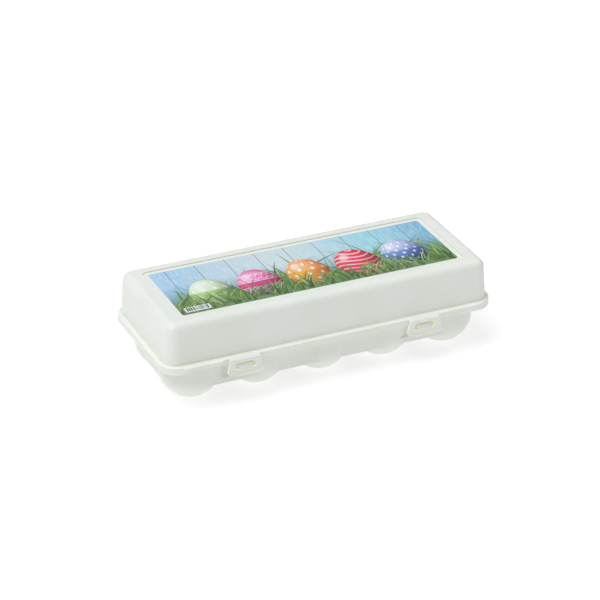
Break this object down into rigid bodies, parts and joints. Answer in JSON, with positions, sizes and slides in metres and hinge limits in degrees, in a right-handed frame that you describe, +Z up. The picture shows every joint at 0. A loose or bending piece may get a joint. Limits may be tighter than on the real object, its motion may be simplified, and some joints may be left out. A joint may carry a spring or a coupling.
{
  "type": "egg carton",
  "caption": "Reusable plastic egg carton: cupped tray, hinged deep lid with a printed label, and snap flaps at the front.",
  "frame": {"origin": "centre of the footprint, on the surface that the cups stand on", "axes": "+X along the carton, -Y towards the front with the snap flaps, +Z up"},
  "size_m": [0.2596, 0.1112, 0.0698],
  "materials": {
    "white_plastic": "matte moulded polypropylene",
    "label_print": "satin printed in-mould film"
  },
  "bodies": {
    "tray": {"tray": "white_plastic", "back_hinge_left": "white_plastic", "back_hinge_middle": "white_plastic", "back_hinge_right": "white_plastic"},
    "lid": {"lid": "white_plastic", "label": "label_print"},
    "flap_left": {"latch_flap_left": "white_plastic", "latch_hinge_left": "white_plastic"},
    "flap_right": {"latch_flap_right": "white_plastic", "latch_hinge_right": "white_plastic"}
  },
  "joints": [
    {"name": "lid_hinge", "type": "hinge", "parent": "tray", "child": "lid", "pos_m": [0, 0.05577, 0.0371], "axis": [-1, 0, 0], "range_deg": [0, 180], "deforming": ["back_hinge_left", "back_hinge_middle", "back_hinge_right"]},
    {"name": "flap_left_hinge", "type": "hinge", "parent": "lid", "child": "flap_left", "pos_m": [-0.0702, -0.05337, 0.03785], "axis": [-1, 0, 0], "range_deg": [0, 120], "deforming": ["latch_hinge_left"]},
    {"name": "flap_right_hinge", "type": "hinge", "parent": "lid", "child": "flap_right", "pos_m": [0.0702, -0.05337, 0.03785], "axis": [-1, 0, 0], "range_deg": [0, 120], "deforming": ["latch_hinge_right"]}
  ]
}
